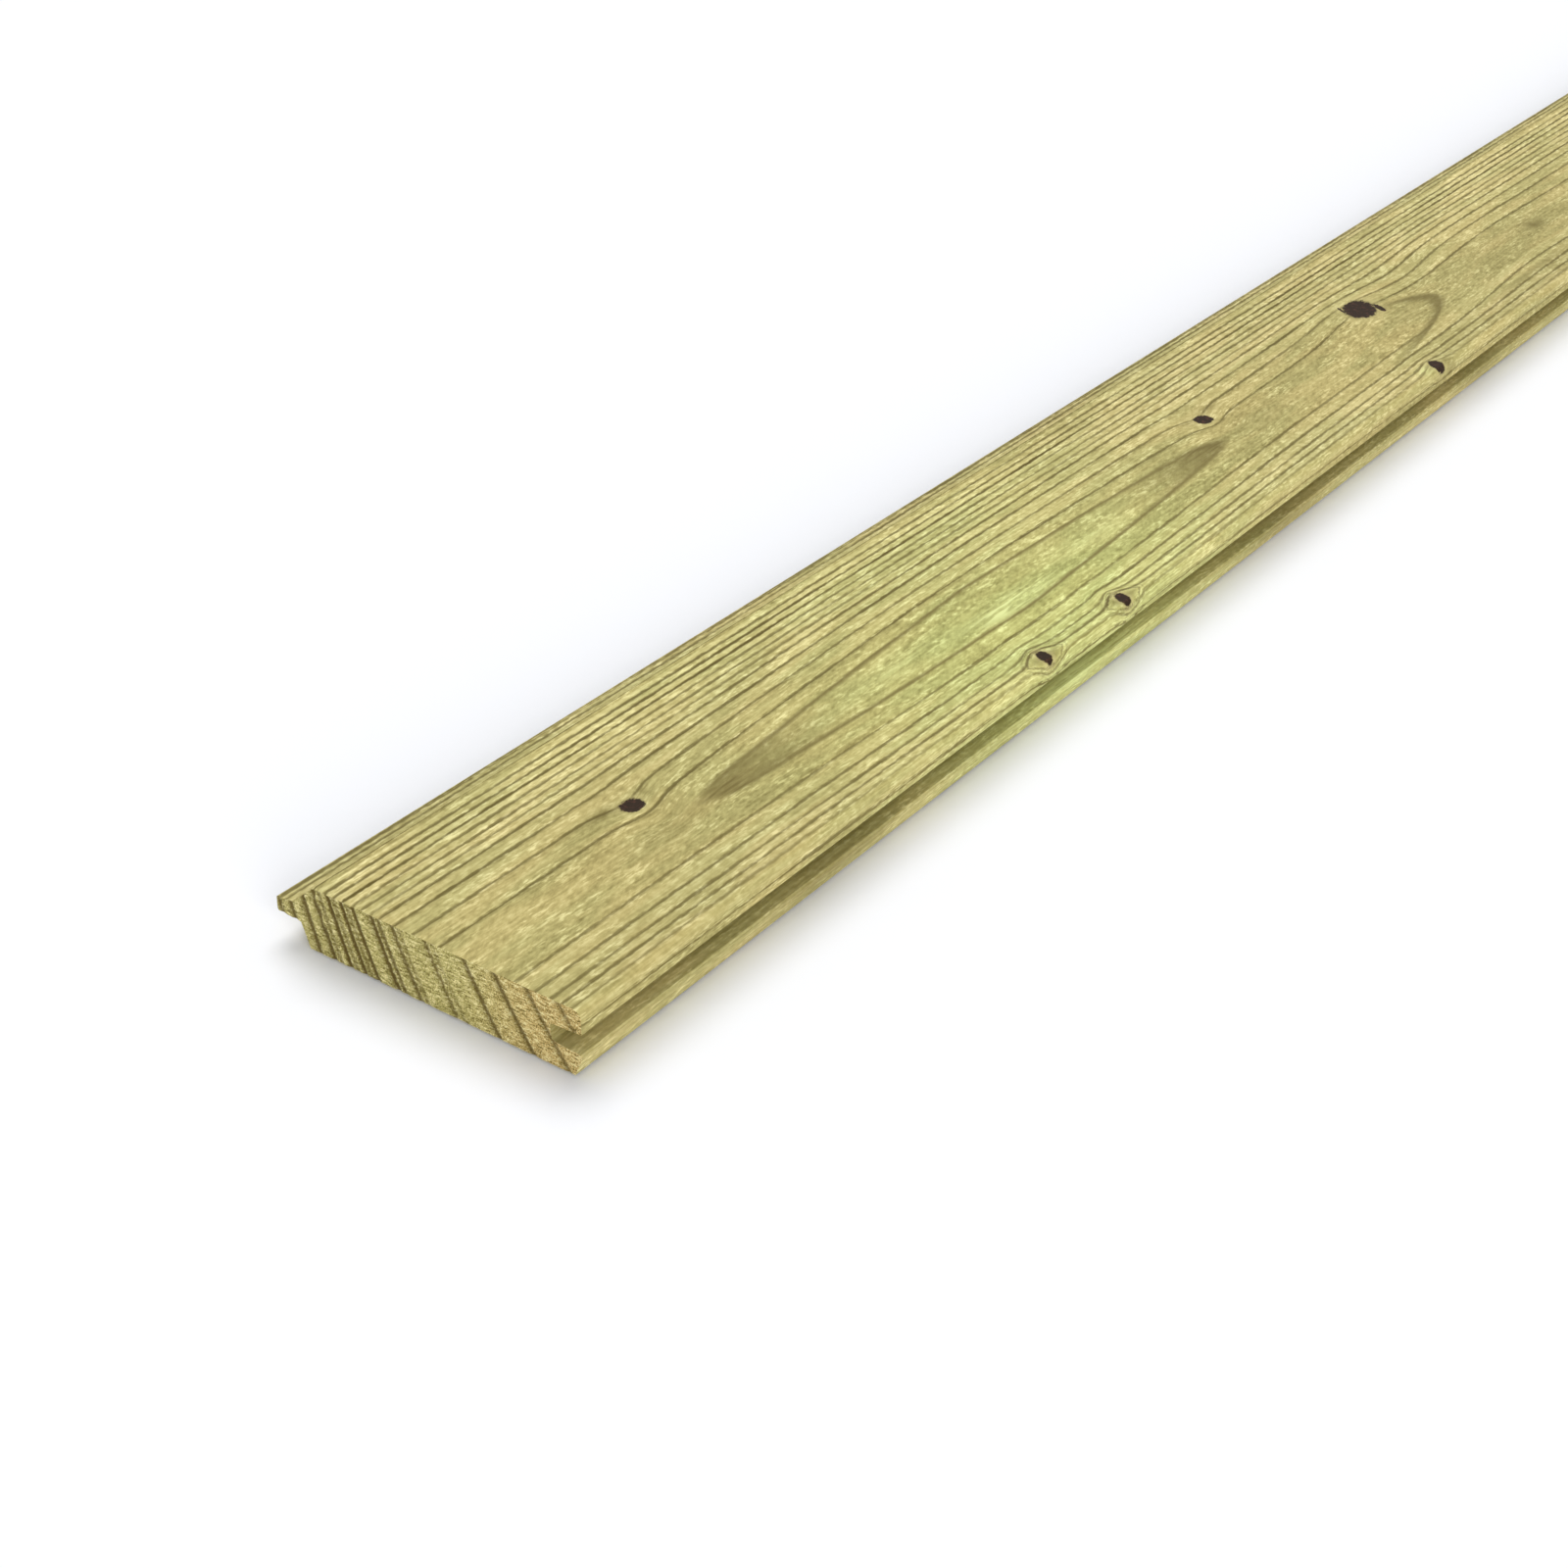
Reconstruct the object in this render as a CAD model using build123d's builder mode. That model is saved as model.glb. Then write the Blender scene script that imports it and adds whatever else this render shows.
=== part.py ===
from build123d import *
import os

# Tongue and groove fence board, planed from one length of softwood.
# It lies on its back: X runs along the board, the tongue is on +Y and the groove on -Y.

# Overall sizes, in millimetres
board_length = 1800.0
board_thickness = 28.0
cover_width = 136.0  # face width that one board adds to the fence

# Tongue
tongue_reach = 9.0  # stands this far past the covered width
tongue_root_height = 7.2  # at the edge of the covered width
tongue_tip_height = 6.2
tongue_tip_radius = 0.8

# Groove, which takes the neighbour's tongue
joint_clearance = 0.75  # room above and below the tongue
swelling_gap = 5.0  # room past the tongue's tip for wet timber
lip_easing = 0.8  # bevel at the mouth, so the tongue starts easily
groove_floor_radius = 1.0

# Edges of the face and of the back
face_bevel_angle = 42.0  # between the face and the bevel above the tongue
face_arris_radius = 3.5
back_gap = 2.8  # open joint behind the tongue
back_relief = 3.7  # both back edges lean in by this much, so the joint closes on the face

# Places worked out from the sizes above
board_width = cover_width + tongue_reach
groove_edge = -board_width / 2
cover_line = groove_edge + cover_width
tongue_tip = cover_line + tongue_reach
groove_depth = tongue_reach + swelling_gap
groove_floor = groove_edge + groove_depth
back_shoulder = cover_line - back_gap
middle = board_thickness / 2
flank_slope = (tongue_root_height - tongue_tip_height) / (2 * tongue_reach)


def tongue_half_height(past_cover_line):
    """Half of the tongue's height at a distance past the covered width."""
    return tongue_root_height / 2 - flank_slope * past_cover_line


def groove_half_height(depth):
    """Half of the groove's height at a depth, parallel to the tongue's flanks."""
    return tongue_half_height(depth) + joint_clearance


# The face bevel starts beside the neighbour's eased lip and rises to the face.
bevel_foot = cover_line + lip_easing
bevel_foot_height = middle + tongue_half_height(lip_easing)
bevel_height = board_thickness - bevel_foot_height

lip_half = groove_half_height(0) + lip_easing
throat_half = groove_half_height(lip_easing)
floor_half = groove_half_height(groove_depth)

with BuildPart() as board:
    with BuildSketch(Plane.YZ) as section:
        with BuildLine():
            back = Line((groove_edge + back_relief, 0), (back_shoulder - back_relief, 0))
            shoulder = Line(back @ 1, (back_shoulder, middle - tongue_half_height(-back_gap)))
            tongue_underside = Line(shoulder @ 1, (tongue_tip, middle - tongue_tip_height / 2))
            tongue_end = Line(tongue_underside @ 1, (tongue_tip, middle + tongue_tip_height / 2))
            tongue_top = Line(tongue_end @ 1, (bevel_foot, bevel_foot_height))
            face_bevel = PolarLine(
                tongue_top @ 1,
                bevel_height,
                180 - face_bevel_angle,
                length_mode=LengthMode.VERTICAL,
            )
            face = Line(face_bevel @ 1, (groove_edge, board_thickness))
            Polyline(
                face @ 1,
                (groove_edge, middle + lip_half),
                (groove_edge + lip_easing, middle + throat_half),
                (groove_floor, middle + floor_half),
                (groove_floor, middle - floor_half),
                (groove_edge + lip_easing, middle - throat_half),
                (groove_edge, middle - lip_half),
                back @ 0,
            )
        make_face()
        tongue_corners = section.vertices().group_by(Axis.X)[-1]
        fillet(tongue_corners, radius=tongue_tip_radius)
        face_arris = section.vertices().group_by(Axis.Y)[-1].sort_by(Axis.X)[0]
        fillet(face_arris, radius=face_arris_radius)
        floor_corners = section.vertices().filter_by_position(Axis.X, groove_floor, groove_floor)
        fillet(floor_corners, radius=groove_floor_radius)
    extrude(amount=board_length / 2, both=True)

board.part.label = "board"

os.makedirs("parts", exist_ok=True)
export_step(board.part, "parts/board.step")
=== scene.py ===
"""A tongue and groove fence board in treated pine, lying on a white studio floor."""

import logging
import math
from bisect import bisect_right
from dataclasses import dataclass, field, replace
from enum import Enum
from functools import lru_cache

import bmesh
import bpy
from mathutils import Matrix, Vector, noise


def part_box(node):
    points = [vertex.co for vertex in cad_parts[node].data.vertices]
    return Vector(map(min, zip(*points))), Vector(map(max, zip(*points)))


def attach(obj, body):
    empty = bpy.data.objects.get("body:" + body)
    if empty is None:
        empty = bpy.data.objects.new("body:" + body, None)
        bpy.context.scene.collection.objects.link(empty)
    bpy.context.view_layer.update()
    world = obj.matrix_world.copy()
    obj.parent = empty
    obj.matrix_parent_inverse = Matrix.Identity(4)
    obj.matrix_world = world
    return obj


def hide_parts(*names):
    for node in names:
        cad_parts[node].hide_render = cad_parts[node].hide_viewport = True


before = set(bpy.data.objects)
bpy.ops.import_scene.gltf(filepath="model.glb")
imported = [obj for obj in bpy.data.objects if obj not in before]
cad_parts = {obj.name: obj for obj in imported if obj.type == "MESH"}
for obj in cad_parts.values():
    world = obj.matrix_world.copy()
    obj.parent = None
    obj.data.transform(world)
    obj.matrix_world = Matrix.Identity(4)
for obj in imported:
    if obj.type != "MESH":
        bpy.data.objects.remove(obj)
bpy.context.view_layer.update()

LOG = logging.getLogger("fence board")
TONGUE_LINES = (121.0, 128.5, 132.5, 136.0, 140.2, 143.0)
TONGUE_STRENGTH = 0.8
GROOVE_LINES = (0.5, 4.6, 6.6, 12.5, 16.5, 21.0, 26.0)
GROOVE_STRENGTH = 0.15
BACK_LINES = (6.0, 15.0, 27.0, 42.0, 61.0, 83.0, 99.0, 111.0, 120.0, 127.0)
BACK_STRENGTH = 0.7
MM = 0.001
TO_MM = 1000.0
RIGHT_ANGLE = 90.0
ROW_DIGITS = 3
QUAD = 4
ROW_CACHE = 4096
ROUND_PROFILE = 0.5
CHART_FULL = 255.0
CHART_KNEE = 0.04045
CHART_SLOPE = 12.92
CHART_OFFSET = 0.055
CHART_POWER = 2.4
NOISE_MIDDLE = 0.5
PLAIN_DETAIL = 2.0
FINE_DETAIL = 3.0
PLAIN_ROUGHNESS = 0.5
MIX_FIRST = 6
MIX_SECOND = 7
MIX_RESULT = 2
Pair = tuple[float, float]
Colour = tuple[float, float, float, float]


class Surface(Enum):
    """The parts of the board's skin. Each has its own run of grain."""

    FACE = "face"
    TONGUE = "tongue"
    GROOVE = "groove"
    BACK = "back"
    END = "end"


class Layer(Enum):
    """Names of the values that the finishes read from the mesh."""

    GRAIN = "grain"
    LOOK = "look"
    SKIN = "skin"


def tone(red: int, green: int, blue: int) -> Colour:
    """Turns a paint-chart colour into the renderer's linear colour.

    Args:
        red: Red from 0 to 255.
        green: Green from 0 to 255.
        blue: Blue from 0 to 255.

    Returns:
        The linear colour with full opacity.
    """
    linear = []
    for channel in (red, green, blue):
        share = channel / CHART_FULL
        curved = ((share + CHART_OFFSET) / (1.0 + CHART_OFFSET)) ** CHART_POWER
        linear.append(share / CHART_SLOPE if share <= CHART_KNEE else curved)
    return (*linear, 1.0)


def bell(distance: float, reach: float) -> float:
    """Gives a smooth hump, one in the middle and near nothing past twice the reach."""
    return math.exp(-((distance / reach) ** 2))


def ease(value: float, low: float, high: float) -> float:
    """Gives a smooth step from nothing at low to one at high.

    Args:
        value: The value to place on the step.
        low: Where the step starts.
        high: Where the step ends. It may lie below low, for a falling step.

    Returns:
        A share from nothing to one.
    """
    share = min(1.0, max(0.0, (value - low) / (high - low)))
    return share * share * (3.0 - 2.0 * share)


def turned(
    run: "Value", rise: "Value", lean: float, length: float, width: float
) -> tuple["Value", "Value"]:
    """Measures a place in the lengths and widths of a leaning oval.

    Args:
        run: The distance along the board from the oval's middle, a number or a shader's reading.
        rise: The distance across the board from the oval's middle.
        lean: The oval's lean, in degrees.
        length: Half of the oval's length.
        width: Half of the oval's width.

    Returns:
        The place lengthwise and crosswise, one at the oval's edge.
    """
    turn = math.radians(lean)
    lengthwise = run * (math.cos(turn) / length) + rise * (math.sin(turn) / length)
    crosswise = rise * (math.cos(turn) / width) - run * (math.sin(turn) / width)
    return lengthwise, crosswise


@dataclass(frozen=True)
class Knot:
    """A knot in the face, in millimetres from the near end and from the groove lips."""

    along: float
    across: float
    half_length: float
    half_width: float
    lean: float = 0.0
    push_up: float = 0.0
    push_down: float = 0.0
    push_reach: float = 10.0
    push_fade: float = 6.5
    rim: float = 1.0
    rings: float = 0.0

    def push(self, along: float, across: float) -> float:
        """Says how far the knot moves a grain line aside.

        Args:
            along: Place along the board.
            across: Where the line would run without the knot.

        Returns:
            The move across the board, in millimetres.
        """
        away = across - self.across
        amount = self.push_up if away > 0.0 else -self.push_down
        return amount * bell(along - self.along, self.push_reach) * math.exp(-abs(away) / self.push_fade)

    def closeness(self, along: float, across: float) -> float:
        """Gives a place's distance from the knot's middle, one at the knot's edge.

        Args:
            along: Place along the board.
            across: Place across the board.

        Returns:
            The distance as a share of the knot's size that way.
        """
        run = along - self.along
        rise = across - self.across
        return math.hypot(*turned(run, rise, self.lean, self.half_length, self.half_width))


@dataclass(frozen=True)
class Swell:
    """A stretch where the grain lines swing to one side together."""

    along: float
    reach: float
    across: float
    spread: float
    shift: float

    def move(self, along: float, across: float) -> float:
        """Says how far the swell moves a line at this place, in millimetres."""
        return self.shift * bell(along - self.along, self.reach) * bell(across - self.across, self.spread)


@dataclass(frozen=True)
class Parting:
    """A stretch where the grain lines move apart, either side of an axis."""

    along: float
    reach: float
    axis: float
    shift_up: float
    shift_down: float
    start: float
    fade_up: float
    fade_down: float

    def move(self, along: float, across: float) -> float:
        """Says how far the parting moves a line.

        Args:
            along: Place along the board.
            across: Where the line runs at the near end.

        Returns:
            The move across the board, in millimetres.
        """
        away = across - self.axis
        past = max(0.0, abs(away) - self.start)
        if away > 0.0:
            amount = self.shift_up * math.exp(-past / self.fade_up)
        else:
            amount = -self.shift_down * math.exp(-past / self.fade_down)
        return amount * bell(along - self.along, self.reach)


@dataclass(frozen=True)
class GrainLine:
    """One dark growth line, by its place across the near end."""

    across: float
    strength: float
    starts: float = -100.0
    ends: float = 5000.0
    fade: float = 30.0

    def weight(self, along: float) -> float:
        """Gives the line's strength at a place along the board."""
        rise = ease(along, self.starts, self.starts + self.fade)
        return self.strength * rise * ease(along, self.ends, self.ends - self.fade)


@dataclass(frozen=True)
class Grain:
    """The run of the grain at one place."""

    ring: float
    gap: float
    straight: float
    strength: float


@dataclass(frozen=True)
class GrainField:
    """The growth lines of one surface and everything that bends them."""

    lines: tuple[GrainLine, ...]
    bends: tuple[Swell | Parting, ...] = ()
    knots: tuple[Knot, ...] = ()
    least_gap: float = 2.2
    wander: float = 0.35
    wander_length: float = 70.0
    margin: float = 40.0
    line_apart: float = 7.3
    wander_seed: float = 1.7

    @lru_cache(maxsize=ROW_CACHE)
    def row(self, along: float) -> tuple[float, ...]:
        """Lists where every line runs at a place along the board.

        Args:
            along: Place along the board, in millimetres.

        Returns:
            Places across the board, rising, with a margin outside the first and the last.
        """
        places: list[float] = []
        for number, line in enumerate(self.lines):
            place = line.across + sum(bend.move(along, line.across) for bend in self.bends)
            place += sum(knot.push(along, place) for knot in self.knots)
            seed = Vector((along / self.wander_length, number * self.line_apart, self.wander_seed))
            place += self.wander * noise.noise(seed)
            if places:
                place = max(place, places[-1] + self.least_gap)
            places.append(place)
        return (places[0] - self.margin, *places, places[-1] + self.margin)

    def at(self, along: float, across: float) -> Grain:
        """Reads the grain at one place.

        Args:
            along: Place along the board, in millimetres.
            across: Place across the board, in millimetres.

        Returns:
            The ring count, the gap to the next ring, the place with bends taken out, and the
            nearest line's strength.
        """
        places = self.row(along)
        below = min(max(bisect_right(places, across) - 1, 0), len(places) - 2)
        gap = places[below + 1] - places[below]
        share = min(1.0, max(0.0, (across - places[below]) / gap))
        first = self.home(below)
        straight = first + share * (self.home(below + 1) - first)
        nearest = min(max(below + round(share) - 1, 0), len(self.lines) - 1)
        outside = below + round(share) in (0, len(places) - 1)
        strength = 0.0 if outside else self.lines[nearest].weight(along)
        return Grain(below + share, gap, straight, strength)

    def home(self, number: int) -> float:
        """Gives where a line, or a margin, runs at the near end.

        Args:
            number: The line's number. Nothing and one past the last line are the margins.

        Returns:
            The place across the board, in millimetres.
        """
        if number == 0:
            return self.lines[0].across - self.margin
        if number > len(self.lines):
            return self.lines[-1].across + self.margin
        return self.lines[number - 1].across


@dataclass(frozen=True)
class Flame:
    """A brown flame in the face: a line curved round a tip, with a soft brown fill behind it.

    Its legs part from the axis as a parabola does. The spread is the square of a leg's distance
    from the axis for each millimetre behind the tip. The flame comes up over its onset, drawn to a
    point on the axis. Its edge is soft by a share of the line's width. Past its length it fades
    out, and with a slant it ends sooner on the tongue side.
    """

    tip: float
    axis: float
    opens: float
    spread_up: float
    spread_down: float
    onset: Pair
    length: float
    tip_width: float
    leg_width: float
    tip_length: float
    peak: float
    strength: float
    fill: float
    fill_length: float
    soft: float = 0.3
    point: float = 2.0
    slant: float = 0.0
    fade: float = 10.0


@dataclass(frozen=True)
class SoftPatch:
    """A soft oval patch, darker or greener than the wood round it. Less than nothing makes it paler."""

    along: float
    across: float
    half_length: float
    half_width: float
    strength: float

    def stain_and_shade(self, along: float, across: float) -> float:
        """Says how strong the patch is at a place, from nothing to its full strength."""
        spread = math.hypot(
            (along - self.along) / self.half_length, (across - self.across) / self.half_width
        )
        return self.strength * bell(spread, 1.0)


@dataclass(frozen=True)
class Section:
    """The board's section, in millimetres, across from the groove lips and up from the back."""

    width: float
    thickness: float
    tongue_reach: float = 9.0
    tongue_root: float = 7.2
    tongue_tip: float = 6.2
    tip_radius: float = 0.8
    clearance: float = 0.75
    swelling_gap: float = 5.0
    easing: float = 0.8
    floor_radius: float = 1.0
    lip_break: float = 0.2
    bevel_angle: float = 42.0
    arris_radius: float = 3.5
    back_gap: float = 2.8
    back_relief: float = 3.7

    @property
    def cover(self) -> float:
        """The width that one board adds to a fence."""
        return self.width - self.tongue_reach

    @property
    def middle(self) -> float:
        """The height of the tongue's middle."""
        return self.thickness / 2

    @property
    def groove_depth(self) -> float:
        """The depth of the groove from its lips."""
        return self.tongue_reach + self.swelling_gap

    @property
    def bevel_foot(self) -> Pair:
        """The place where the face bevel meets the tongue."""
        return (self.cover + self.easing, self.middle + self.tongue_half(self.easing))

    @property
    def face_edge(self) -> float:
        """The place across the board where the flat face ends and the bevel starts."""
        across, up = self.bevel_foot
        return across - (self.thickness - up) / math.tan(math.radians(self.bevel_angle))

    @property
    def lip_half(self) -> float:
        """Half of the groove's mouth, easing included."""
        return self.groove_half(0.0) + self.easing

    @property
    def upper_lip(self) -> float:
        """The height of the upper lip's edge, which is broken less than the lower lip's."""
        return self.middle + self.groove_half(0.0) + self.lip_break

    def tongue_half(self, past: float) -> float:
        """Half of the tongue's height, at a distance past the cover width."""
        slope = (self.tongue_root - self.tongue_tip) / (2 * self.tongue_reach)
        return self.tongue_root / 2 - slope * past

    def groove_half(self, depth: float) -> float:
        """Half of the groove's height at a depth."""
        return self.tongue_half(depth) + self.clearance

    def corners(self) -> list[tuple[float, float, float]]:
        """Lists the section's corners in order.

        Returns:
            For each corner its place across, its height and the radius that rounds it.
        """
        shoulder = self.cover - self.back_gap
        shoulder_half = self.tongue_half(-self.back_gap)
        tip_half = self.tongue_tip / 2
        throat_half = self.groove_half(self.easing)
        floor_half = self.groove_half(self.groove_depth)
        middle = self.middle
        return [
            (self.back_relief, 0.0, 0.0),
            (shoulder - self.back_relief, 0.0, 0.0),
            (shoulder, middle - shoulder_half, 0.0),
            (self.width, middle - tip_half, self.tip_radius),
            (self.width, middle + tip_half, self.tip_radius),
            (*self.bevel_foot, 0.0),
            (self.face_edge, self.thickness, 0.0),
            (0.0, self.thickness, self.arris_radius),
            (0.0, self.upper_lip, 0.0),
            (self.lip_break, middle + self.groove_half(self.lip_break), 0.0),
            (self.groove_depth, middle + floor_half, self.floor_radius),
            (self.groove_depth, middle - floor_half, self.floor_radius),
            (self.easing, middle - throat_half, 0.0),
            (0.0, middle - self.lip_half, 0.0),
        ]

    def surface(self, across: float, up: float) -> Surface:
        """Names the surface that a place on the long skin belongs to.

        Args:
            across: Place across the board, in millimetres.
            up: Height above the back, in millimetres.

        Returns:
            The surface.
        """
        if up > self.upper_lip and across < self.face_edge:
            return Surface.FACE
        if across < self.groove_depth + self.easing and up > 0.0:
            return Surface.GROOVE
        if across > self.face_edge and up > self.middle - self.lip_half:
            return Surface.TONGUE
        return Surface.BACK


@dataclass
class FenceBoard:
    """The board: a planed length with its grain, knots and sawn ends."""

    section: Section
    length: float
    face_grain: GrainField
    tongue_grain: GrainField
    groove_grain: GrainField
    back_grain: GrainField
    end_grain: GrainField
    knots: tuple[Knot, ...]
    smudges: tuple[SoftPatch, ...]
    lip_stains_and_shade: tuple[SoftPatch, ...]
    green_patches: tuple[SoftPatch, ...]
    name: str = "fence_board"
    row_step: float = 9.5
    crowd: float = 4.0
    crowd_reach: float = 20.0
    end_reach: float = 4.0
    column_step: float = 1.9
    groove_half: float = 0.55
    line_depth: float = 0.17
    knot_dish: float = 0.25
    end_cell: float = 1.0
    end_roughness: float = 0.45
    ring_depth: float = 0.5
    edge_chip: float = 0.75
    end_lean_left: float = 13.0
    end_lean_right: float = 34.0
    skin_step: dict[Surface, float] = field(
        default_factory=lambda: {
            Surface.FACE: 1.2,
            Surface.TONGUE: 1.4,
            Surface.GROOVE: 1.6,
            Surface.BACK: 4.0,
        }
    )
    shade_from: float = 1.5
    shade_full: float = 9.0
    back_drift: float = 19.0
    no_knots: float = -500.0
    arc_segments: int = 5
    sharp_angle: float = 35.0
    edge_room: float = 2.2
    flat_slack: float = 0.001
    row_slack: float = 0.01
    weld: float = 0.02
    long_edge: float = 1.0
    line_clear: Pair = (0.9, 1.4)
    dish_edge: Pair = (1.1, 0.7)
    coarse_scale: Pair = (0.45, 0.9)
    coarse_share: float = 0.3
    fine_scale: Pair = (1.3, 1.9)
    fine_share: float = 0.2
    fine_seed: float = 9.0
    rough_middle: float = 0.5
    ring_reach: float = 0.9

    def rows(self) -> list[float]:
        """Lists the places along the board where the mesh has a row.

        Returns:
            Places along the board, closer together near knots and ends.
        """
        places = [0.0]
        while places[-1] < self.length:
            here = places[-1]
            near_knots = sum(self.crowd * bell(here - knot.along, self.crowd_reach) for knot in self.knots)
            near_ends = bell(here, self.end_reach) + bell(here - self.length, self.end_reach)
            tightness = 1.0 + near_knots + self.crowd * near_ends
            places.append(here + self.row_step / tightness)
        stretch = self.length / places[-1]
        return [place * stretch for place in places]

    def columns(self, along: float) -> list[float]:
        """Lists the places across the flat face where the mesh has a column, with the grain lines.

        Args:
            along: Place along the board, in millimetres.

        Returns:
            Places across the board from the arris to the bevel, both left out.
        """
        low = self.section.arris_radius
        high = self.section.face_edge
        places: list[float] = []
        last = low
        for number in self.face_lines():
            place = self.face_grain.row(along)[number]
            place = min(max(place, last + 2 * self.groove_half), high - 2 * self.groove_half)
            places += self.spread(last, place - self.groove_half, self.between(number))
            places += [place - self.groove_half, place, place + self.groove_half]
            last = place + self.groove_half
        places += self.spread(last, high, 1)
        return places

    def spread(self, low: float, high: float, count: int) -> list[float]:
        """Lists evenly spaced places between two others, both left out."""
        return [low + (high - low) * (step + 1) / (count + 1) for step in range(count)]

    def between(self, number: int) -> int:
        """Counts the columns that fit between a grain line and the one below it, at the near end.

        Args:
            number: The upper line's number.

        Returns:
            The count, one at least.
        """
        below = max(self.face_grain.home(number - 1), self.section.arris_radius)
        gap = self.face_grain.home(number) - below
        return max(1, round((gap - 2 * self.groove_half) / self.column_step))

    def face_lines(self) -> list[int]:
        """Lists the grain lines that stay on the flat face.

        Returns:
            The lines' numbers, rising.
        """
        inside = self.section.arris_radius + self.edge_room
        outside = self.section.face_edge - self.edge_room
        return [
            number
            for number in range(1, len(self.face_grain.lines) + 1)
            if inside < self.face_grain.home(number) < outside
        ]

    def build(self) -> bpy.types.Object:
        """Makes the board's mesh, hangs it under the root body and hides the CAD board.

        Returns:
            The board, at the origin, in the CAD model's place.
        """
        mesh_shape = bmesh.new()
        self.draw_section(mesh_shape)
        rows = self.rows()
        self.stretch_along(mesh_shape, rows)
        self.follow_grain(mesh_shape, rows)
        self.slice_ends(mesh_shape)
        self.write_grain(mesh_shape)
        self.carve(mesh_shape)
        bmesh.ops.recalc_face_normals(mesh_shape, faces=mesh_shape.faces)
        for edge in mesh_shape.edges:
            edge.smooth = edge.calc_face_angle(0.0) < math.radians(self.sharp_angle)
        for face in mesh_shape.faces:
            face.smooth = True
        offset = Vector((-self.length / 2, -self.section.width / 2, 0.0))
        bmesh.ops.translate(mesh_shape, verts=mesh_shape.verts, vec=offset)
        bmesh.ops.scale(mesh_shape, verts=mesh_shape.verts, vec=(MM, MM, MM))
        mesh = bpy.data.meshes.new(self.name)
        mesh_shape.to_mesh(mesh)
        mesh_shape.free()
        piece = bpy.data.objects.new(self.name, mesh)
        bpy.context.scene.collection.objects.link(piece)
        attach(piece, "root")
        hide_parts("board")
        return piece

    def draw_section(self, shape: bmesh.types.BMesh) -> None:
        """Draws the section as one flat face, rounds its corners and splits its edges.

        Args:
            shape: The mesh to draw in, still empty.
        """
        corners = self.section.corners()
        points = [shape.verts.new((0.0, across, up)) for across, up, _ in corners]
        shape.faces.new(points)
        for point, (_, _, radius) in zip(points, corners):
            if radius > 0.0:
                first, second = (edge.other_vert(point).co - point.co for edge in point.link_edges)
                half_turn = first.angle(second) / 2
                bmesh.ops.bevel(
                    shape,
                    geom=[point],
                    offset=radius / math.tan(half_turn),
                    offset_type="OFFSET",
                    affect="VERTICES",
                    segments=self.arc_segments,
                    profile=ROUND_PROFILE,
                    material=-1,
                )
        for edge in list(shape.edges):
            centre = (edge.verts[0].co + edge.verts[1].co) / 2
            step = self.skin_step[self.section.surface(centre.y, centre.z)]
            cuts = round(edge.calc_length() / step) - 1
            if self.is_flat_face(edge.verts[0].co) and self.is_flat_face(edge.verts[1].co):
                cuts = len(self.columns(0.0))
            if cuts > 0:
                bmesh.ops.subdivide_edges(shape, edges=[edge], cuts=cuts)

    def is_flat_face(self, place: Vector) -> bool:
        """Says whether a place lies on the board's flat face."""
        return place.z > self.section.thickness - self.flat_slack

    def stretch_along(self, shape: bmesh.types.BMesh, rows: list[float]) -> None:
        """Extrudes the section along the board and splits it at the rows.

        Args:
            shape: The mesh with the section.
            rows: Places along the board.
        """
        made = bmesh.ops.extrude_face_region(shape, geom=list(shape.faces))
        moved = [item for item in made["geom"] if isinstance(item, bmesh.types.BMVert)]
        bmesh.ops.translate(shape, verts=moved, vec=(self.length, 0.0, 0.0))
        long_edges = [
            edge for edge in shape.edges if abs(edge.verts[0].co.x - edge.verts[1].co.x) > self.long_edge
        ]
        bmesh.ops.subdivide_edges(shape, edges=long_edges, cuts=len(rows) - 2, use_grid_fill=True)
        step = self.length / (len(rows) - 1)
        for point in shape.verts:
            point.co.x = rows[round(point.co.x / step)]

    def follow_grain(self, shape: bmesh.types.BMesh, rows: list[float]) -> None:
        """Moves the face's columns sideways, so that they run with the grain lines.

        Args:
            shape: The board's mesh.
            rows: Places along the board.
        """
        by_row: dict[float, list[bmesh.types.BMVert]] = {place: [] for place in rows}
        for point in shape.verts:
            if self.is_flat_face(point.co):
                by_row[rows[self.row_number(rows, point.co.x)]].append(point)
        for place, points in by_row.items():
            points.sort(key=lambda point: point.co.y)
            for point, across in zip(points[1:-1], self.columns(place)):
                point.co.y = across

    def row_number(self, rows: list[float], along: float) -> int:
        """Finds the row at a place along the board, with room for rounding."""
        return max(0, bisect_right(rows, along + self.row_slack) - 1)

    def slice_ends(self, shape: bmesh.types.BMesh) -> None:
        """Cuts the two ends into small cells, for the saw's roughness.

        Args:
            shape: The board's mesh. The ends are its only faces with more than four corners.
        """
        for face in shape.faces:
            face.material_index = int(len(face.verts) > QUAD)
        thickness = self.section.thickness
        heights = self.spread(0.0, thickness, round(thickness / self.end_cell) - 1)
        sideways = Vector((0.0, 1.0, 0.0))
        upwards = Vector((0.0, 0.0, 1.0))
        for place in (0.0, self.length):
            end = next(
                face
                for face in shape.faces
                if face.material_index and abs(face.verts[0].co.x - place) < self.long_edge
            )
            geometry = [end, *end.edges, *end.verts]
            cuts = [(sideways * across, sideways) for across in self.end_cuts(place)]
            cuts += [(upwards * up, upwards) for up in heights]
            for spot, normal in cuts:
                made = bmesh.ops.bisect_plane(
                    shape, geom=geometry, dist=self.weld, plane_co=spot, plane_no=normal
                )
                geometry = made["geom"]

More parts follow.
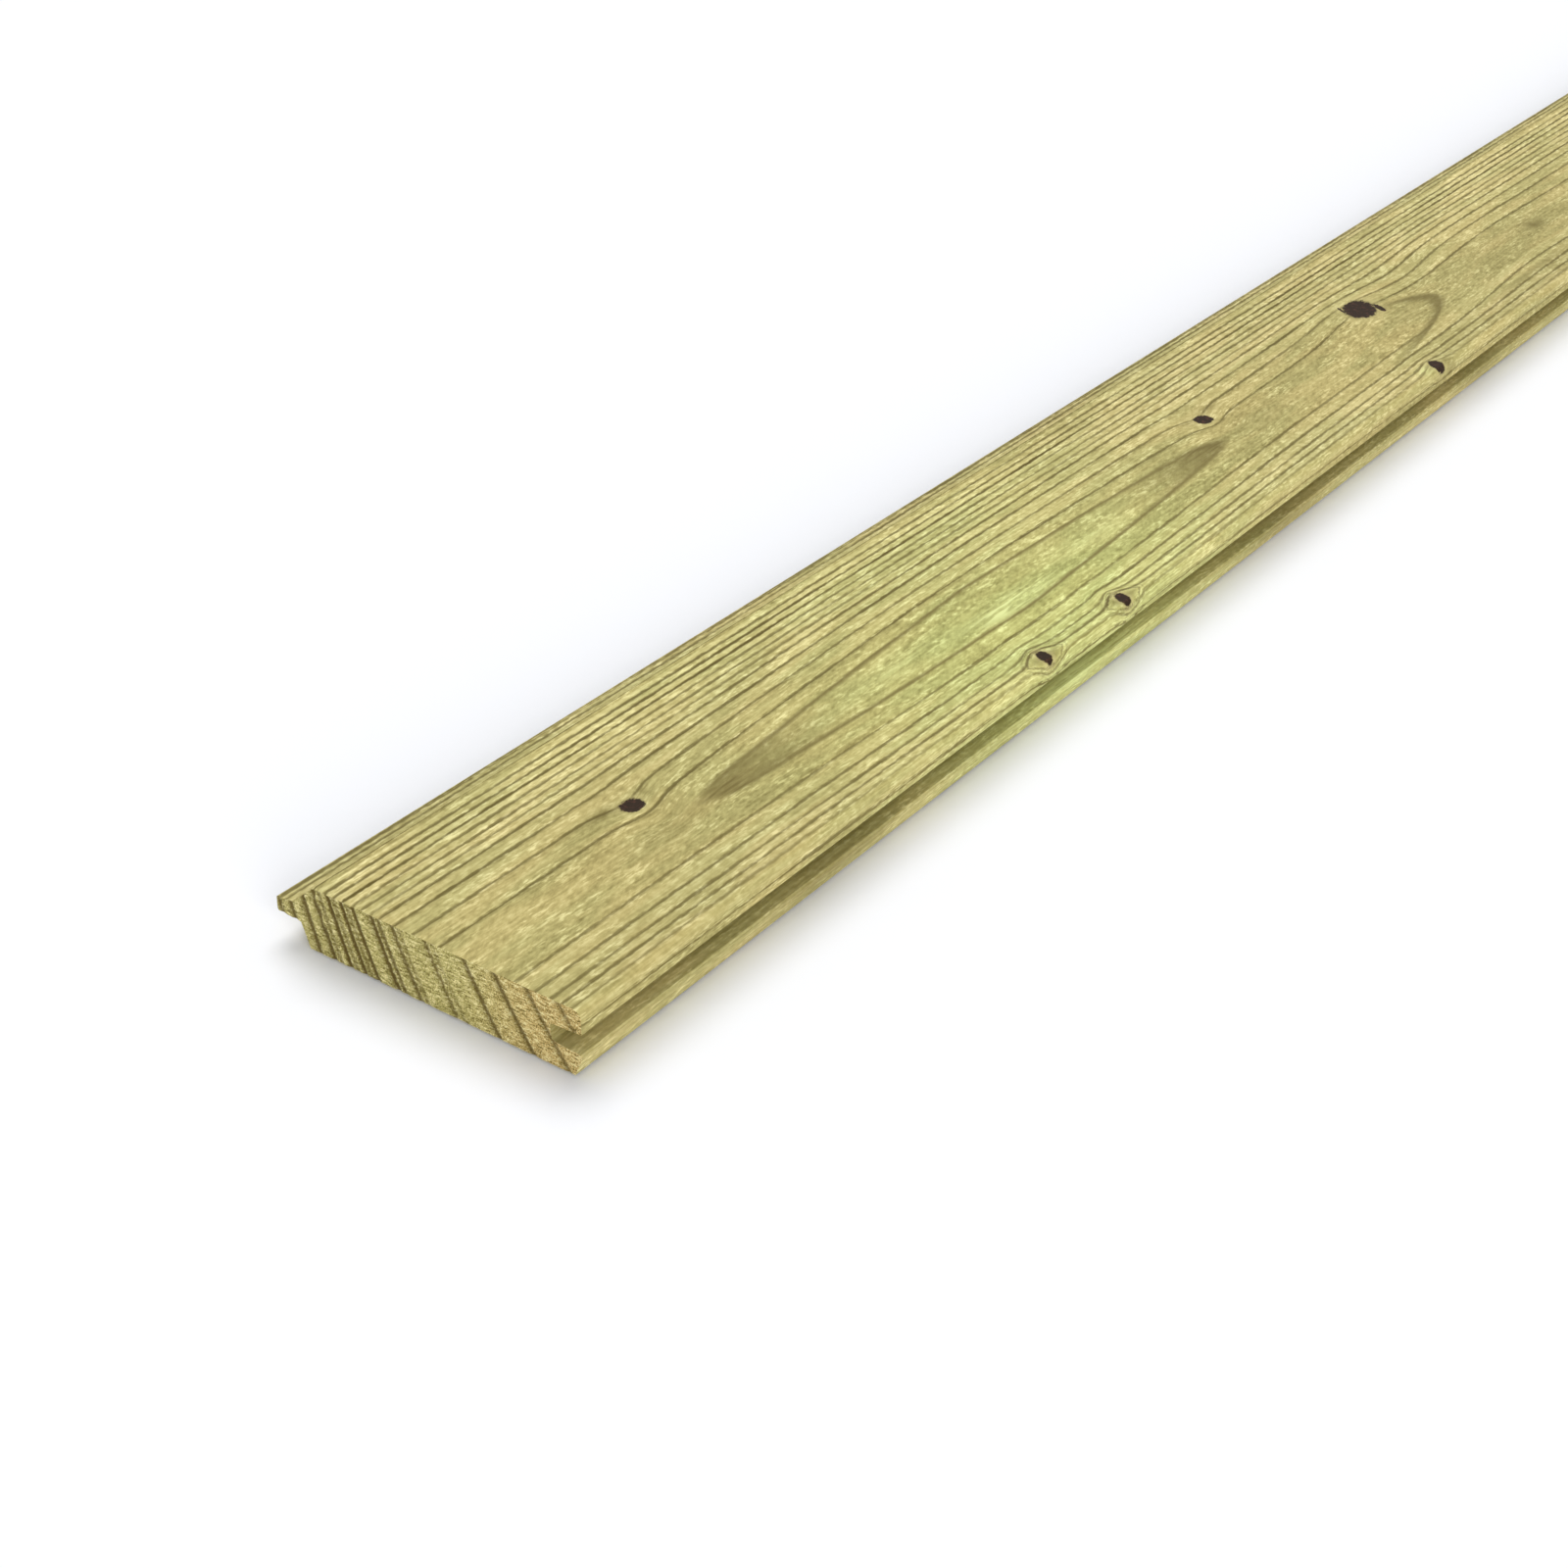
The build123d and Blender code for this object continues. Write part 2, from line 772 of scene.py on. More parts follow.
    def end_cuts(self, along: float) -> list[float]:
        """Lists where an end is cut across its width.

        Args:
            along: The end's place along the board, in millimetres.

        Returns:
            Places across the board: the face's columns, then even steps over the tongue.
        """
        edge = self.section.face_edge
        width = self.section.width
        beyond = self.spread(edge, width, round((width - edge) / self.end_cell))
        return [*self.columns(along), edge, *beyond]

    def unrolled(self, across: float, up: float) -> float:
        """Measures across the face and round the arris, as if the skin were rolled out flat.

        Args:
            across: Place across the board, in millimetres.
            up: Height above the back, in millimetres.

        Returns:
            The distance across, less than nothing on the lip's side.
        """
        radius = self.section.arris_radius
        if across >= radius:
            return across
        drop = self.section.thickness - up
        if drop >= radius:
            return radius - math.pi * radius / 2 - (drop - radius)
        return radius - radius * math.atan2(radius - across, radius - drop)

    def end_across(self, across: float, up: float) -> float:
        """Follows an end's leaning growth ring up to the face.

        Args:
            across: Place across the board, in millimetres.
            up: Height above the back, in millimetres.

        Returns:
            Where that ring meets the height of the face.
        """
        share = min(1.0, max(0.0, across / self.section.width))
        lean = self.end_lean_right + (self.end_lean_left - self.end_lean_right) * share
        return across + (self.section.thickness - up) * math.tan(math.radians(lean))

    def read_grain(self, place: Vector, surface: Surface) -> Grain:
        """Reads the grain at a place on one of the surfaces.

        Args:
            place: The place, in millimetres.
            surface: The surface it lies on.

        Returns:
            The grain there.
        """
        along = round(place.x, ROW_DIGITS)
        if surface is Surface.FACE:
            return self.face_grain.at(along, self.unrolled(place.y, place.z))
        if surface is Surface.TONGUE:
            return self.tongue_grain.at(along, place.y)
        if surface is Surface.GROOVE:
            return self.groove_grain.at(along, place.y + place.z)
        if surface is Surface.BACK:
            return self.back_grain.at(along, place.y)
        return self.end_grain.at(along, self.end_across(place.y, place.z))

    def read_stain_and_shade(self, place: Vector, surface: Surface) -> float:
        """Says how brown the wood is at a place, from stains and from the painted shade along the top of
        the lower lip.

        Args:
            place: The place, in millimetres.
            surface: The surface it lies on.

        Returns:
            The stain and the painted shade, from nothing to one.
        """
        if surface is Surface.FACE:
            marks = [mark.stain_and_shade(place.x, self.unrolled(place.y, place.z)) for mark in self.smudges]
        elif surface is Surface.GROOVE:
            # On the groove side this includes the painted shade band along the top of the lower lip.
            marks = [mark.stain_and_shade(place.x, place.z) for mark in self.lip_stains_and_shade]
        else:
            marks = [0.0]
        return min(1.0, sum(marks))

    def read_skin(self, place: Vector, surface: Surface) -> Vector:
        """Gives a place on the rolled-out face, where knots are set out.

        Args:
            place: The place, in millimetres.
            surface: The surface it lies on.

        Returns:
            The place along and across, far off where a surface has no knots, and the groove's shade.
        """
        if surface is Surface.FACE:
            return Vector((place.x, self.unrolled(place.y, place.z), 0.0))
        if surface is Surface.BACK:
            return Vector((place.x, place.y + self.back_drift, 0.0))
        in_groove = surface is Surface.GROOVE and place.z > self.section.middle - self.section.lip_half
        inside = ease(place.y, self.shade_from, self.shade_full) if in_groove else 0.0
        return Vector((place.x, self.no_knots, inside))

    def surface_of(self, face: bmesh.types.BMFace) -> Surface:
        """Names the surface that a mesh face belongs to.

        Args:
            face: The mesh face.

        Returns:
            The surface.
        """
        if face.material_index:
            return Surface.END
        centre = face.calc_center_median()
        return self.section.surface(centre.y, centre.z)

    def write_grain(self, shape: bmesh.types.BMesh) -> None:
        """Stores the grain, the stains and the painted shade on the mesh, for the finishes to read.

        Args:
            shape: The board's mesh, not carved yet.
        """
        for layer in Layer:
            shape.loops.layers.float_vector.new(layer.value)
        grain_layer, look_layer, skin_layer = (
            shape.loops.layers.float_vector[layer.value] for layer in Layer
        )
        known: dict[tuple[int, Surface], tuple[Vector, Vector, Vector]] = {}
        shape.verts.index_update()
        for face in shape.faces:
            surface = self.surface_of(face)
            for corner in face.loops:
                key = (corner.vert.index, surface)
                if key not in known:
                    place = corner.vert.co
                    grain = self.read_grain(place, surface)
                    green = sum(patch.stain_and_shade(place.x, place.y) for patch in self.green_patches)
                    known[key] = (
                        Vector((grain.ring, grain.gap, grain.straight)),
                        Vector((grain.strength, self.read_stain_and_shade(place, surface), green)),
                        self.read_skin(place, surface),
                    )
                corner[grain_layer], corner[look_layer], corner[skin_layer] = known[key]

    def carve(self, shape: bmesh.types.BMesh) -> None:
        """Sinks the grain lines and knots into the face and roughens the sawn ends.

        Args:
            shape: The board's mesh.
        """
        lines = self.face_lines()
        ends = {point for face in shape.faces if face.material_index for point in face.verts}
        for point in shape.verts:
            if self.is_flat_face(point.co) and point not in ends:
                point.co.z -= self.face_depth(point.co.x, point.co.y, lines)
        for point in ends:
            inward = 1.0 if point.co.x < self.length / 2 else -1.0
            depth, notch = self.end_depth(point.co)
            point.co.x += inward * depth
            if self.is_flat_face(point.co):
                point.co.z -= notch

    def face_depth(self, along: float, across: float, lines: list[int]) -> float:
        """Says how far a place on the face lies below the planed surface.

        Args:
            along: Place along the board, in millimetres.
            across: Place across the board, in millimetres.
            lines: The numbers of the grain lines on the flat face.

        Returns:
            The depth, in millimetres.
        """
        depth = 0.0
        places = self.face_grain.row(round(along, ROW_DIGITS))
        for number in lines:
            away = abs(across - places[number])
            if away < self.groove_half:
                weight = self.face_grain.lines[number - 1].weight(along)
                depth = self.line_depth * weight * (1.0 - away / self.groove_half)
        for knot in self.knots:
            closeness = knot.closeness(along, across)
            depth *= ease(closeness, *self.line_clear)
            depth += self.knot_dish * ease(closeness, *self.dish_edge)
        return depth

    def end_depth(self, place: Vector) -> Pair:
        """Says how far a place on a sawn end lies behind the cut, and how far its edge is chipped down.

        Args:
            place: The place, in millimetres.

        Returns:
            The depth and the chip, in millimetres.
        """
        grain = self.read_grain(place, Surface.END)
        coarse_across, coarse_up = self.coarse_scale
        fine_across, fine_up = self.fine_scale
        coarse = noise.noise(Vector((place.x, place.y * coarse_across, place.z * coarse_up)))
        fine_place = Vector((place.x + self.fine_seed, place.y * fine_across, place.z * fine_up))
        share = grain.ring % 1.0
        sunk = bell(min(share, 1.0 - share) * grain.gap, self.ring_reach) * grain.strength
        rough = self.rough_middle + self.coarse_share * coarse + self.fine_share * noise.noise(fine_place)
        depth = self.end_roughness * min(1.0, max(0.0, rough)) + self.ring_depth * sunk
        return depth, self.edge_chip * sunk


@dataclass(frozen=True)
class Reading:
    """A number, a vector or a colour that a shader node gives. Sums on it lay further nodes."""

    bench: "Bench"
    socket: bpy.types.NodeSocket

    def __add__(self, other: "Value") -> "Reading":
        """Adds another number."""
        return self.maths("ADD", other)

    def __sub__(self, other: "Value") -> "Reading":
        """Takes another number off."""
        return self.maths("SUBTRACT", other)

    def __rsub__(self, other: float) -> "Reading":
        """Takes this number off a plain one."""
        return self.bench.maths("SUBTRACT", other, self)

    def __mul__(self, other: "Value") -> "Reading":
        """Multiplies by another number."""
        return self.maths("MULTIPLY", other)

    def __truediv__(self, other: "Value") -> "Reading":
        """Divides by another number."""
        return self.maths("DIVIDE", other)

    def __abs__(self) -> "Reading":
        """Drops the number's sign."""
        return self.maths("ABSOLUTE")

    def maths(self, operation: str, other: "Value" = 0.0) -> "Reading":
        """Lays a sum by its name, with this number first."""
        return self.bench.maths(operation, self, other)

    def held(self) -> "Reading":
        """Keeps the last sum between nothing and one."""
        self.socket.node.use_clamp = True
        return self

    def vary(self, amount: float) -> "Reading":
        """Scales noise about its middle, so that it adds nothing on average."""
        return (self - NOISE_MIDDLE) * amount

    def vector(self, operation: str, *numbers: float) -> "Reading":
        """Lays a vector sum by its name, with three plain numbers."""
        return self.bench.lay("ShaderNodeVectorMath", {0: self, 1: numbers}, operation=operation)

    def scaled(self, along: float, across: float, up: float) -> "Reading":
        """Scales a vector's three numbers."""
        return self.vector("MULTIPLY", along, across, up)

    def split(self) -> tuple["Reading", ...]:
        """Splits a vector into its three numbers."""
        parted = self.bench.lay("ShaderNodeSeparateXYZ", {0: self})
        return tuple(Reading(self.bench, socket) for socket in parted.socket.node.outputs)

    def step(self, low: float, high: float) -> "Reading":
        """Lays a smooth step.

        Args:
            low: Where the step gives nothing.
            high: Where the step gives one. It may lie below low, for a falling step.

        Returns:
            A share from nothing to one.
        """
        feeds = {
            "Value": self,
            "From Min": min(low, high),
            "From Max": max(low, high),
            "To Min": float(low > high),
            "To Max": float(low < high),
        }
        return self.bench.lay("ShaderNodeMapRange", feeds, "Result", interpolation_type="SMOOTHSTEP")

    def cloud(self, detail: float, roughness: float) -> "Reading":
        """Lays cloudy noise, one cloud to each unit of this place's scale."""
        feeds = {"Vector": self, "Scale": 1.0, "Detail": detail, "Roughness": roughness}
        return self.bench.lay("ShaderNodeTexNoise", feeds, "Fac", noise_dimensions="3D")


Value = Reading | float | tuple[float, ...]


@dataclass
class Bench:
    """Lays out the shader nodes of one material."""

    material: bpy.types.Material

    def node(self, kind: str, **settings: object) -> bpy.types.Node:
        """Adds a node and sets it up.

        Args:
            kind: The node's type name.
            settings: Properties to set on it.

        Returns:
            The node.
        """
        made = self.material.node_tree.nodes.new(kind)
        for name, value in settings.items():
            setattr(made, name, value)
        return made

    def feed(self, socket: bpy.types.NodeSocket, value: Value) -> None:
        """Feeds a socket.

        Args:
            socket: The socket.
            value: Another node's reading to link it to, or a plain value to set it to.
        """
        if isinstance(value, Reading):
            self.material.node_tree.links.new(value.socket, socket)
        else:
            socket.default_value = value

    def lay(
        self, kind: str, feeds: dict[str | int, Value], output: str | int = 0, **settings: object
    ) -> Reading:
        """Adds a node, feeds its inputs and reads one of its outputs.

        Args:
            kind: The node's type name.
            feeds: What goes into each input, by the input's name or number.
            output: The output's name or number.
            settings: Properties to set on the node.

        Returns:
            The output's reading.
        """
        made = self.node(kind, **settings)
        for place, value in feeds.items():
            self.feed(made.inputs[place], value)
        return Reading(self, made.outputs[output])

    def maths(self, operation: str, first: Value, second: Value) -> Reading:
        """Lays a sum of two numbers by its name."""
        return self.lay("ShaderNodeMath", {0: first, 1: second}, operation=operation)

    def join(self, *numbers: Value) -> Reading:
        """Joins three numbers into a vector."""
        return self.lay("ShaderNodeCombineXYZ", dict(enumerate(numbers)))

    def blend(self, amount: Value, first: Value, second: Value, mode: str = "MIX") -> Reading:
        """Lays a mix of two colours.

        Args:
            amount: The second colour's share.
            first: The first colour.
            second: The second colour.
            mode: How the colours mix.

        Returns:
            The mixed colour.
        """
        feeds = {"Factor": amount, MIX_FIRST: first, MIX_SECOND: second}
        settings = {"data_type": "RGBA", "blend_type": mode, "clamp_factor": True}
        return self.lay("ShaderNodeMix", feeds, MIX_RESULT, **settings)

    def ramp(self, value: Value, *colours: Colour) -> Reading:
        """Turns a number into a colour.

        Args:
            value: The number, from nothing to one.
            colours: The colours from nothing to one, evenly spaced.

        Returns:
            The colour.
        """
        made = self.lay("ShaderNodeValToRGB", {"Fac": value}, "Color")
        marks = made.socket.node.color_ramp.elements
        while len(marks) < len(colours):
            marks.new(1.0)
        for number, (mark, colour) in enumerate(zip(marks, colours)):
            mark.position = number / (len(colours) - 1)
            mark.color = colour
        return made

    def stored(self, layer: Layer) -> tuple[Reading, ...]:
        """Reads a layer of the mesh as three numbers."""
        settings = {"attribute_type": "GEOMETRY", "attribute_name": layer.value}
        return self.lay("ShaderNodeAttribute", {}, "Vector", **settings).split()


@dataclass(frozen=True)
class Streak:
    """Noise drawn out along the grain: one streak's size in millimetres, and its share in the shine."""

    length: float
    width: float
    share: float
    detail: float = PLAIN_DETAIL
    roughness: float = PLAIN_ROUGHNESS

    def lay(self, run: Reading) -> Reading:
        """Lays the noise, for a place with the bends in the grain taken out."""
        place = run.scaled(1 / self.length, 1 / self.width, 1 / self.width)
        return place.cloud(self.detail, self.roughness)


@dataclass(frozen=True)
class PineFinish:
    """What the planed skin and the sawn ends have in common."""

    name: str
    roughness: float = 0.72
    gloss: float = 0.2
    relief: float = 0.12
    tail: float = 3.0
    tail_share: float = 0.25
    tail_end: float = 0.15

    def start(self) -> Bench:
        """Makes an empty material.

        Returns:
            The bench to lay its nodes on.
        """
        material = bpy.data.materials.new(self.name)
        material.use_nodes = True
        material.node_tree.nodes.clear()
        return Bench(material)

    def board_place(self, bench: Bench, length: float, width: float) -> Reading:
        """Gives the place on the board, in millimetres from the near end, the groove lips and the back."""
        spot = bench.lay("ShaderNodeTexCoord", {}, "Object")
        return spot.scaled(TO_MM, TO_MM, TO_MM).vector("ADD", length / 2, width / 2, 0.0)

    def line_distances(self, ring: Reading, gap: Reading) -> tuple[Reading, Reading]:
        """Gives the distances from the last growth line and to the next one, in millimetres."""
        share = ring.maths("FRACT")
        return share * gap, (1.0 - share) * gap

    def soft_tail(self, distance: Reading, gap: Reading) -> Reading:
        """Fades a growth line's soft tail out with the distance from the line."""
        reach = (gap * self.tail_share).maths("MINIMUM", self.tail)
        return (distance / reach).step(1.0, self.tail_end)

    def finish(self, bench: Bench, colour: Reading, height: Reading) -> bpy.types.Material:
        """Lays the shader, with fine fibres raised on it.

        Args:
            bench: The bench to lay nodes on.
            colour: The wood's colour.
            height: The fibres' height, from nothing to one.

        Returns:
            The material.
        """
        fibres = {"Strength": 1.0, "Distance": self.relief * MM, "Height": height}
        wood = {
            "Base Color": colour,
            "Roughness": self.roughness,
            "Specular IOR Level": self.gloss,
            "Normal": bench.lay("ShaderNodeBump", fibres, "Normal"),
        }
        output = bench.node("ShaderNodeOutputMaterial")
        bench.feed(output.inputs["Surface"], bench.lay("ShaderNodeBsdfPrincipled", wood, "BSDF"))
        return bench.material


@dataclass(frozen=True)
class PlanedPine(PineFinish):
    """The planed skin: olive yellow wood, dark growth lines, brown stains, knots, and painted shade in the
    groove and along the top of the lower lip.
    """

    wood_dark: Colour = tone(122, 109, 54)
    wood_mid: Colour = tone(190, 178, 115)
    wood_light: Colour = tone(240, 230, 166)
    late: Colour = tone(98, 85, 34)
    # Brown of the stains, flames and soft line tails, also used for the painted shade along the top of the
    # lower lip.
    stain_and_shade: Colour = tone(118, 105, 54)
    green: Colour = (1.03, 1.22, 1.06, 1.0)
    bright: Colour = tone(228, 234, 158)
    shade: Colour = tone(120, 108, 56)
    warm_tint: Colour = (1.024, 0.988, 0.972, 1.0)
    cool_tint: Colour = (0.984, 1.008, 1.0, 1.0)
    knot: Colour = tone(46, 31, 14)
    knot_red: Colour = tone(82, 50, 36)
    knot_edge: Colour = tone(104, 90, 54)
    knot_ring: Colour = tone(98, 84, 44)
    knot_rim: Colour = tone(208, 196, 134)
    long_streak: Streak = Streak(24.0, 1.5, 0.6)
    short_streak: Streak = Streak(4.4, 1.1, 0.42, FINE_DETAIL)
    patch: Streak = Streak(60.0, 12.0, 0.35)
    slow: Streak = Streak(120.0, 18.0, 0.25)
    mottle: Streak = Streak(3.0, 3.0, 0.44, FINE_DETAIL)
    cluster: Streak = Streak(16.0, 6.0, 0.3)
    feather: Streak = Streak(6.5, 1.7, 0.55, FINE_DETAIL, 0.62)
    feather_lean: float = 26.0
    cluster_step: Pair = (0.4, 0.64)
    fleck_step: Pair = (0.47, 0.66)
    tint_step: Pair = (0.36, 0.64)
    gleam_step: Pair = (0.42, 0.56)
    gleam_least: float = 0.25
    narrow_gap: Pair = (14.0, 4.0)
    narrow_shine: float = 0.17
    base_shine: float = 0.41
    core: Pair = (1.15, 0.25)
    line_apart: float = 3.7
    line_wave: float = 55.0
    line_fray: float = 1.5
    line_waver: float = 0.9
    line_fade: float = 0.7
    line_full: float = 1.25
    line_relief: float = 0.6
    tail_dark: float = 0.32
    flame_sway: float = 1.5
    flame_round: float = 1.5
    fill_sway: float = 1.9
    groove_shade: float = 0.52
    ragged: Streak = Streak(1 / 0.35, 1 / 0.35, 0.7, FINE_DETAIL, 0.6)
    splinter: Streak = Streak(1 / 1.1, 1 / 1.1, 0.3, PLAIN_DETAIL, 0.6)
    rim_step: Pair = (1.9, 1.3)
    rim_share: float = 0.6
    edge_step: Pair = (1.22, 1.0)
    edge_share: float = 0.8
    red_step: Pair = (0.0, 0.16)
    heart_step: Pair = (1.06, 0.94)
    eye_length: float = 2.9
    eye_width: float = 1.2
    eye_ragged: float = 0.9
    eye_break: float = 3.0
    eye_whole: float = 0.7
    eye_halo: float = 0.4
    halo_step: Pair = (1.0, 0.2)
    eye_lines: tuple[Pair, ...] = ((1.0, 0.75), (1.5, 0.35))
    eye_line_step: Pair = (0.2, 0.04)

    def dress(
        self, length: float, width: float, knots: tuple[Knot, ...], flames: tuple[Flame, ...]
    ) -> bpy.types.Material:
        """Makes the finish.

        Args:
            length: The board's length, in millimetres.
            width: The board's width, in millimetres.
            knots: The knots in the face.
            flames: The brown flames in the face.

        Returns:
            The material.
        """
        bench = self.start()
        place = self.board_place(bench, length, width)
        along, _, up = place.split()
        ring, gap, straight = bench.stored(Layer.GRAIN)
        strength, stain_and_shade, green = bench.stored(Layer.LOOK)
        run = bench.join(along, straight, up)
        long_streak = self.long_streak.lay(run)
        short_streak = self.short_streak.lay(run)
        patch = self.patch.lay(run)
        cluster = self.cluster.lay(run).step(*self.cluster_step)
        feather = self.lean_fibres(place).vary(self.feather.share) * gap.step(*reversed(self.narrow_gap))
        narrow = gap.step(*self.narrow_gap) * self.narrow_shine
        shine = long_streak.vary(self.long_streak.share) + short_streak.vary(self.short_streak.share)
        shine += self.mottle.lay(place).vary(self.mottle.share) + patch.vary(self.patch.share)
        shine += feather + self.slow.lay(run).vary(self.slow.share)
        shine += short_streak.step(*self.fleck_step) * cluster * self.cluster.share
        shine = (shine + (narrow + self.base_shine)).held()
        colour = bench.ramp(shine, self.wood_dark, self.wood_mid, self.wood_light)
        tint = bench.blend(patch.step(*self.tint_step), self.cool_tint, self.warm_tint)
        colour = bench.blend(1.0, colour, tint, "MULTIPLY")
        colour = bench.blend(green, colour, bench.blend(1.0, colour, self.green, "MULTIPLY"))
        gleam = long_streak.step(*self.gleam_step) * (1.0 - self.gleam_least) + self.gleam_least
        colour = bench.blend((stain_and_shade * -1.0).held() * gleam, colour, self.bright)
        line, tail = self.growth_lines(bench, along, ring, gap, strength, short_streak)
        colour = bench.blend(tail * self.tail_dark, colour, self.stain_and_shade)
        for flame in flames:
            stain_and_shade = stain_and_shade.maths("MAXIMUM", self.burn(bench, flame, long_streak))
        # Blends in the stains, the flames and the painted shade along the top of the lower lip.
        colour = bench.blend(stain_and_shade, colour, self.stain_and_shade)
        colour = bench.blend(line, colour, self.late)
        colour = self.lay_knots(bench, colour, knots)
        return self.finish(bench, colour, shine - line * self.line_relief)

    def lean_fibres(self, place: Reading) -> Reading:
        """Adds fine noise drawn out at a slant to the grain, as a planer leaves on wide grain.

        Args:
            place: The place on the board, in millimetres.

        Returns:
            The noise.
        """
        along, across, up = place.split()
        fibre = self.feather
        turned_place = turned(along, across, self.feather_lean, fibre.length, fibre.width)
        return place.bench.join(*turned_place, up).cloud(fibre.detail, fibre.roughness)

    def growth_lines(
        self, bench: Bench, along: Reading, ring: Reading, gap: Reading, strength: Reading, fray: Reading
    ) -> tuple[Reading, Reading]:
        """Draws the dark growth lines.

        Args:
            bench: The bench to lay nodes on.
            along: The place along the board, in millimetres.
            ring: The ring count.
            gap: The gap between rings, in millimetres.
            strength: The nearest line's strength.
            fray: Fine noise along the grain, which frays the lines.

        Returns:
            The lines' darkness, and that of the soft tail on their groove side.
        """
        above, below = self.line_distances(ring, gap)
        number = ring.maths("ROUND") * self.line_apart
        wave = bench.join(along * (1 / self.line_wave), number, 0.0).cloud(PLAIN_DETAIL, PLAIN_ROUGHNESS)
        frayed = fray.vary(self.line_fray) + wave.vary(self.line_waver)
        core = (above.maths("MINIMUM", below) + frayed).step(*self.core)
        line = (core * strength * (wave * -self.line_fade + self.line_full)).held()
        tail = (self.soft_tail(below + frayed, gap) * strength).held()
        return line, tail

    def burn(self, bench: Bench, flame: Flame, sway: Reading) -> Reading:
        """Draws one flame.

        Args:
            bench: The bench to lay nodes on.
            flame: The flame's shape.
            sway: Noise along the grain, which unsettles the flame's edge.

        Returns:
            The flame's darkness.
        """
        along, across, _ = bench.stored(Layer.SKIN)
        behind = (along - flame.tip) * flame.opens
        rise = across - flame.axis + sway.vary(self.flame_sway)
        height = abs(rise)
        spread = rise.maths("GREATER_THAN") * (flame.spread_up - flame.spread_down) + flame.spread_down
        twice = rise + rise
        slope = (spread * spread + twice * twice).maths("SQRT")
        inside = (spread * behind - rise * rise) / slope
        near_tip = (behind + height * self.flame_round).step(flame.tip_length, 0.0)
        depth = inside / (near_tip * (flame.tip_width - flame.leg_width) + flame.leg_width)
        line = depth.step(1.0, flame.peak) * flame.strength
        fill = behind.step(flame.fill_length, 0.0) * flame.fill
        fill = (fill * (sway.vary(self.fill_sway) + 1.0)).held()
        dark = line.maths("MAXIMUM", fill) * depth.step(-flame.soft, flame.peak)
        dark *= (behind + height * -flame.point).step(*flame.onset)
        reach = behind + rise * flame.slant
        return dark * reach.step(flame.length + flame.fade, flame.length - flame.fade)

    def lay_knots(self, bench: Bench, colour: Reading, knots: tuple[Knot, ...]) -> Reading:
        """Lays the knots over the wood's colour, and the shade inside the groove.

        Args:
            bench: The bench to lay nodes on.
            colour: The wood's colour.
            knots: The knots in the face.

        Returns:
            The colour with knots.
        """
        along, across, inside = bench.stored(Layer.SKIN)
        colour = bench.blend(inside * self.groove_shade, colour, self.shade)
        spot = bench.join(along, across, 0.0)
        ragged = self.ragged.lay(spot).vary(self.ragged.share)
        ragged += self.splinter.lay(spot).vary(self.splinter.share)
        heart = bench.blend(ragged.step(*self.red_step), self.knot, self.knot_red)
        for knot in knots:
            run = along - knot.along
            rise = across - knot.across
            lengthwise, crosswise = turned(run, rise, knot.lean, knot.half_length, knot.half_width)
            distance = (lengthwise * lengthwise + crosswise * crosswise).maths("SQRT") + ragged
            rim = distance.step(*self.rim_step) * (self.rim_share * knot.rim)
            colour = bench.blend(rim, colour, self.knot_rim)
            if knot.rings > 0.0:
                colour = self.draw_eye(bench, colour, knot, run, rise, ragged)
            edge = distance.step(*self.edge_step) * (self.edge_share * knot.rim)
            colour = bench.blend(edge, colour, self.knot_edge)
            colour = bench.blend(distance.step(*self.heart_step), colour, heart)
        return colour

    def draw_eye(
        self, bench: Bench, colour: Reading, knot: Knot, run: Reading, rise: Reading, ragged: Reading
    ) -> Reading:
        """Draws the pointed eye of grain lines round a knot.

        Args:
            bench: The bench to lay nodes on.
            colour: The wood's colour.
            knot: The knot in the eye's middle.
            run: The distance along the board from the knot.
            rise: The distance across the board from the knot.
            ragged: Noise that unsettles the eye's lines.

        Returns:
            The colour with the eye.
        """
        lengthwise = run * (1 / (self.eye_length * knot.half_length))
        crosswise = abs(rise) * (1 / (self.eye_width * knot.half_length))
        eye = lengthwise * lengthwise + crosswise + ragged * self.eye_ragged
        broken = (ragged * self.eye_break + self.eye_whole).held()
        halo = eye.step(*self.halo_step) * (self.eye_halo * knot.rings)
        colour = bench.blend(halo, colour, self.knot_ring)
        for place, share in self.eye_lines:
            ring = abs(eye - place).step(*self.eye_line_step) * (share * knot.rings)
            colour = bench.blend(ring * broken, colour, self.knot_ring)
        return colour


